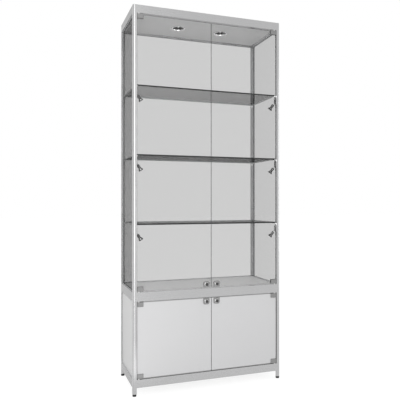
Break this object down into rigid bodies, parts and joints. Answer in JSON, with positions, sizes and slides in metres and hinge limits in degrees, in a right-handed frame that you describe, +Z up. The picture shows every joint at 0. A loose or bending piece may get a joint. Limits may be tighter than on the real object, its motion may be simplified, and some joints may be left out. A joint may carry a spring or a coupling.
{
  "type": "glass showcase",
  "caption": "Tall free-standing glass showcase: aluminium frame, glazed display part with glass shelves and small lamps, lockable glass doors, white cupboard below.",
  "frame": {"origin": "on the floor, under the middle of the whole object's box", "axes": "+Z up, -Y towards the doors, +X to the right seen from the front"},
  "size_m": [0.9, 0.3798, 2.15],
  "materials": {
    "frame_aluminium": "satin anodised",
    "connector_metal": "plain casting",
    "clear_glass": "clear float glass, polished edges",
    "white_glass": "white back-painted glass",
    "shelf_glass": "clear float glass, polished edges",
    "white_board": "white melamine",
    "white_sheet": "white powder coat",
    "chrome": "polished",
    "clamp_metal": "satin nickel",
    "lock_metal": "polished nickel",
    "lamp_metal": "satin",
    "black_plastic": "matt",
    "grey_plastic": "matt",
    "white_plastic": "matt",
    "foot_plastic": "matt"
  },
  "bodies": {
    "cabinet": {"post_front_left": "frame_aluminium", "post_front_right": "frame_aluminium", "post_rear_left": "frame_aluminium", "post_rear_right": "frame_aluminium", "top_rail_front": "frame_aluminium", "middle_rail_front": "frame_aluminium", "bottom_rail_front": "frame_aluminium", "rear_rails": "frame_aluminium", "top_side_rails": "frame_aluminium", "middle_side_rails": "frame_aluminium", "bottom_side_rails": "frame_aluminium", "rail_connectors": "connector_metal", "side_glasses": "clear_glass", "rear_glass": "clear_glass", "lower_shelf": "shelf_glass", "middle_shelf": "shelf_glass", "upper_shelf": "shelf_glass", "display_deck": "white_board", "cabinet_floor": "white_board", "cabinet_rear_panel": "white_board", "cabinet_side_panels": "white_board", "ceiling_panel": "white_sheet", "roof_panel": "white_sheet", "shelf_supports": "chrome", "spot_brackets": "lamp_metal", "downlight_housings": "lamp_metal", "foot_sockets": "black_plastic", "lamp_leads": "black_plastic", "mains_gland": "black_plastic", "post_caps": "grey_plastic", "hinge_bushes": "grey_plastic", "lamp_transformer": "white_plastic"},
    "upper_left_door": {"upper_left_door_glass": "clear_glass", "upper_left_hinge_clamps": "clamp_metal", "upper_left_lock_case": "lock_metal"},
    "upper_left_lock": {"upper_left_lock_barrel": "lock_metal"},
    "upper_right_door": {"upper_right_door_glass": "clear_glass", "upper_right_hinge_clamps": "clamp_metal", "upper_right_lock_case": "lock_metal"},
    "upper_right_lock": {"upper_right_lock_barrel": "lock_metal"},
    "lower_left_door": {"lower_left_door_panel": "white_glass", "lower_left_hinge_clamps": "clamp_metal", "lower_left_lock_case": "lock_metal"},
    "lower_left_lock": {"lower_left_lock_barrel": "lock_metal"},
    "lower_right_door": {"lower_right_door_panel": "white_glass", "lower_right_hinge_clamps": "clamp_metal", "lower_right_lock_case": "lock_metal"},
    "lower_right_lock": {"lower_right_lock_barrel": "lock_metal"},
    "spot_left_lower": {"spot_head_left_lower": "lamp_metal"},
    "spot_right_lower": {"spot_head_right_lower": "lamp_metal"},
    "spot_left_middle": {"spot_head_left_middle": "lamp_metal"},
    "spot_right_middle": {"spot_head_right_middle": "lamp_metal"},
    "spot_left_upper": {"spot_head_left_upper": "lamp_metal"},
    "spot_right_upper": {"spot_head_right_upper": "lamp_metal"},
    "downlight_left": {"downlight_gimbal_left": "lamp_metal"},
    "downlight_right": {"downlight_gimbal_right": "lamp_metal"},
    "foot_front_left": {"foot_front_left": "foot_plastic"},
    "foot_front_right": {"foot_front_right": "foot_plastic"},
    "foot_rear_left": {"foot_rear_left": "foot_plastic"},
    "foot_rear_right": {"foot_rear_right": "foot_plastic"}
  },
  "joints": [
    {"name": "upper_left_door_hinge", "type": "hinge", "parent": "cabinet", "child": "upper_left_door", "pos_m": [-0.417, -0.17365, 0.576], "axis": [0, 0, -1], "range_deg": [0, 110]},
    {"name": "upper_left_lock_turn", "type": "hinge", "parent": "upper_left_door", "child": "upper_left_lock", "pos_m": [-0.0225, -0.17615, 0.593], "axis": [0, 1, 0], "range_deg": [0, 90]},
    {"name": "upper_right_door_hinge", "type": "hinge", "parent": "cabinet", "child": "upper_right_door", "pos_m": [0.417, -0.17365, 0.576], "axis": [0, 0, 1], "range_deg": [0, 110]},
    {"name": "upper_right_lock_turn", "type": "hinge", "parent": "upper_right_door", "child": "upper_right_lock", "pos_m": [0.0405, -0.17615, 0.593], "axis": [0, 1, 0], "range_deg": [0, 90]},
    {"name": "lower_left_door_hinge", "type": "hinge", "parent": "cabinet", "child": "lower_left_door", "pos_m": [-0.417, -0.17365, 0.097], "axis": [0, 0, -1], "range_deg": [0, 110]},
    {"name": "lower_left_lock_turn", "type": "hinge", "parent": "lower_left_door", "child": "lower_left_lock", "pos_m": [-0.0225, -0.17615, 0.495], "axis": [0, 1, 0], "range_deg": [0, 90]},
    {"name": "lower_right_door_hinge", "type": "hinge", "parent": "cabinet", "child": "lower_right_door", "pos_m": [0.417, -0.17365, 0.097], "axis": [0, 0, 1], "range_deg": [0, 110]},
    {"name": "lower_right_lock_turn", "type": "hinge", "parent": "lower_right_door", "child": "lower_right_lock", "pos_m": [0.0405, -0.17615, 0.495], "axis": [0, 1, 0], "range_deg": [0, 90]},
    {"name": "spot_left_lower_tilt", "type": "hinge", "parent": "cabinet", "child": "spot_left_lower", "pos_m": [-0.422, -0.15735, 0.889], "axis": [0.342, -0.9397, 0], "range_deg": [-15, 40]},
    {"name": "spot_right_lower_tilt", "type": "hinge", "parent": "cabinet", "child": "spot_right_lower", "pos_m": [0.422, -0.15735, 0.889], "axis": [0.342, 0.9397, 0], "range_deg": [-15, 40]},
    {"name": "spot_left_middle_tilt", "type": "hinge", "parent": "cabinet", "child": "spot_left_middle", "pos_m": [-0.422, -0.15735, 1.275], "axis": [0.342, -0.9397, 0], "range_deg": [-15, 40]},
    {"name": "spot_right_middle_tilt", "type": "hinge", "parent": "cabinet", "child": "spot_right_middle", "pos_m": [0.422, -0.15735, 1.275], "axis": [0.342, 0.9397, 0], "range_deg": [-15, 40]},
    {"name": "spot_left_upper_tilt", "type": "hinge", "parent": "cabinet", "child": "spot_left_upper", "pos_m": [-0.422, -0.15735, 1.661], "axis": [0.342, -0.9397, 0], "range_deg": [-15, 40]},
    {"name": "spot_right_upper_tilt", "type": "hinge", "parent": "cabinet", "child": "spot_right_upper", "pos_m": [0.422, -0.15735, 1.661], "axis": [0.342, 0.9397, 0], "range_deg": [-15, 40]},
    {"name": "downlight_left_tilt", "type": "hinge", "parent": "cabinet", "child": "downlight_left", "pos_m": [-0.136, 0.00485, 2.117], "axis": [0, 1, 0], "range_deg": [-20, 20]},
    {"name": "downlight_right_tilt", "type": "hinge", "parent": "cabinet", "child": "downlight_right", "pos_m": [0.136, 0.00485, 2.117], "axis": [0, 1, 0], "range_deg": [-20, 20]},
    {"name": "foot_front_left_adjust", "type": "slide", "parent": "cabinet", "child": "foot_front_left", "axis": [0, 0, 1], "range_m": [-0.012, 0]},
    {"name": "foot_front_right_adjust", "type": "slide", "parent": "cabinet", "child": "foot_front_right", "axis": [0, 0, 1], "range_m": [-0.012, 0]},
    {"name": "foot_rear_left_adjust", "type": "slide", "parent": "cabinet", "child": "foot_rear_left", "axis": [0, 0, 1], "range_m": [-0.012, 0]},
    {"name": "foot_rear_right_adjust", "type": "slide", "parent": "cabinet", "child": "foot_rear_right", "axis": [0, 0, 1], "range_m": [-0.012, 0]}
  ]
}
